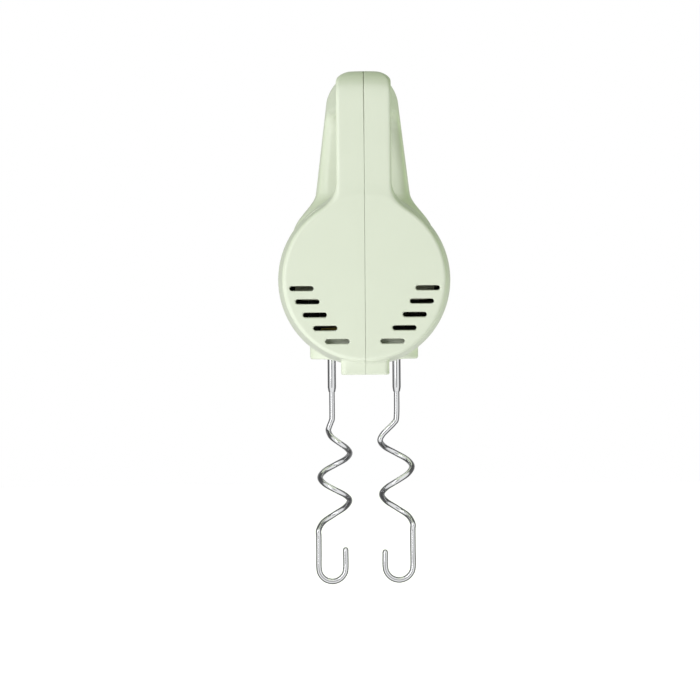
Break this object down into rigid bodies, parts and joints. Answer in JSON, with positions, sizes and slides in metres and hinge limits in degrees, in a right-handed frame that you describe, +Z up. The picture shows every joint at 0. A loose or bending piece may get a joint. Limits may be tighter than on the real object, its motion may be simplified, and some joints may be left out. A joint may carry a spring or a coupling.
{
  "type": "hand mixer",
  "caption": "Electric hand mixer with a loop handle, slotted heel, speed slider, pulse and eject buttons, and twin chrome dough hooks.",
  "frame": {"origin": "centre of the round heel face at the rear end of the motor barrel", "axes": "+Y forwards along the motor barrel to the nose, +Z up from the hooks to the handle, +X to the right as seen from behind"},
  "size_m": [0.0958, 0.1953, 0.2999],
  "materials": {
    "mint_casing": "glossy moulded",
    "white_panel": "satin moulded",
    "grey_controls": "satin moulded",
    "nylon": "moulded",
    "black_plastic": "moulded",
    "steel": "plain",
    "lamination": "stacked sheet",
    "chrome_hooks": "polished",
    "copper": "enamelled copper",
    "bronze": "sintered",
    "carbon": "pressed carbon",
    "rubber": "moulded",
    "live_lead": "insulated wire",
    "neutral_lead": "insulated wire",
    "board": "coated",
    "capacitor": "moulded"
  },
  "bodies": {
    "body": {"casing_left": "mint_casing", "casing_right": "mint_casing", "casing_screw_1": "steel", "casing_screw_2": "steel", "casing_screw_3": "steel", "casing_screw_4": "steel", "casing_screw_5": "steel", "casing_screw_6": "steel", "cord_inlet_grommet": "rubber", "control_panel": "white_panel", "speed_switch": "black_plastic", "turbo_spring": "steel", "turbo_switch": "black_plastic", "eject_spring": "steel", "stator_core": "lamination", "field_coil_upper": "copper", "field_coil_lower": "copper", "rear_bearing": "bronze", "front_bearing": "bronze", "end_bearing": "bronze", "rear_bearing_bracket": "nylon", "brush_holder_left": "bronze", "brush_holder_right": "bronze", "carbon_brush_left": "carbon", "carbon_brush_right": "carbon", "brush_spring_left": "steel", "brush_spring_right": "steel", "stator_screw_left": "steel", "stator_screw_right": "steel", "spindle_bush_left": "bronze", "spindle_bush_right": "bronze", "thrust_washer_left": "steel", "thrust_washer_right": "steel", "gear_frame": "grey_controls", "suppressor_capacitor": "capacitor", "speed_board": "board", "inlet_lead_live": "live_lead", "inlet_lead_neutral": "neutral_lead", "motor_lead": "live_lead"},
    "armature": {"armature_shaft": "steel", "armature_core": "lamination", "armature_winding_rear": "copper", "armature_winding_front": "copper", "commutator": "copper", "cooling_fan": "nylon", "worm": "steel"},
    "spindle_left": {"spindle_gear_left": "nylon", "spindle_circlip_left": "steel"},
    "spindle_right": {"spindle_gear_right": "nylon", "spindle_circlip_right": "steel"},
    "hook_left": {"hook_sleeve_left": "chrome_hooks", "hook_wire_left": "chrome_hooks"},
    "hook_right": {"hook_sleeve_right": "chrome_hooks", "hook_wire_right": "chrome_hooks"},
    "eject": {"eject_button": "mint_casing", "eject_yoke": "nylon"},
    "slider": {"speed_slider": "grey_controls", "slider_contact": "bronze"},
    "turbo": {"turbo_button": "grey_controls"}
  },
  "joints": [
    {"name": "armature_spin", "type": "hinge", "parent": "body", "child": "armature", "pos_m": [0, 0.07, -0.002], "axis": [0, 1, 0], "continuous": true},
    {"name": "spindle_left_spin", "type": "hinge", "parent": "body", "child": "spindle_left", "pos_m": [-0.019, 0.14, -0.002], "axis": [0, 0, 1], "continuous": true},
    {"name": "spindle_right_spin", "type": "hinge", "parent": "body", "child": "spindle_right", "pos_m": [0.019, 0.14, -0.002], "axis": [0, 0, 1], "continuous": true},
    {"name": "hook_left_release", "type": "slide", "parent": "spindle_left", "child": "hook_left", "axis": [0, 0, -1], "range_m": [0, 0.005]},
    {"name": "hook_right_release", "type": "slide", "parent": "spindle_right", "child": "hook_right", "axis": [0, 0, -1], "range_m": [0, 0.005]},
    {"name": "eject_press", "type": "slide", "parent": "body", "child": "eject", "axis": [0, 0, -1], "range_m": [0, 0.005], "stiffness_N_per_m": 400, "springref_m": -0.008, "deforming": ["eject_spring"]},
    {"name": "speed_slide", "type": "slide", "parent": "body", "child": "slider", "axis": [0, 0.9986, 0.0537], "range_m": [0, 0.02]},
    {"name": "turbo_press", "type": "slide", "parent": "body", "child": "turbo", "axis": [0, 0.0537, -0.9986], "range_m": [0, 0.0025], "stiffness_N_per_m": 300, "springref_m": -0.003, "deforming": ["turbo_spring"]}
  ],
  "couplings": [
    {"joint": "spindle_left_spin", "follows": "armature_spin", "ratio": -0.083333},
    {"joint": "spindle_right_spin", "follows": "armature_spin", "ratio": 0.083333},
    {"joint": "hook_left_release", "follows": "eject_press", "ratio": 1},
    {"joint": "hook_right_release", "follows": "eject_press", "ratio": 1}
  ]
}
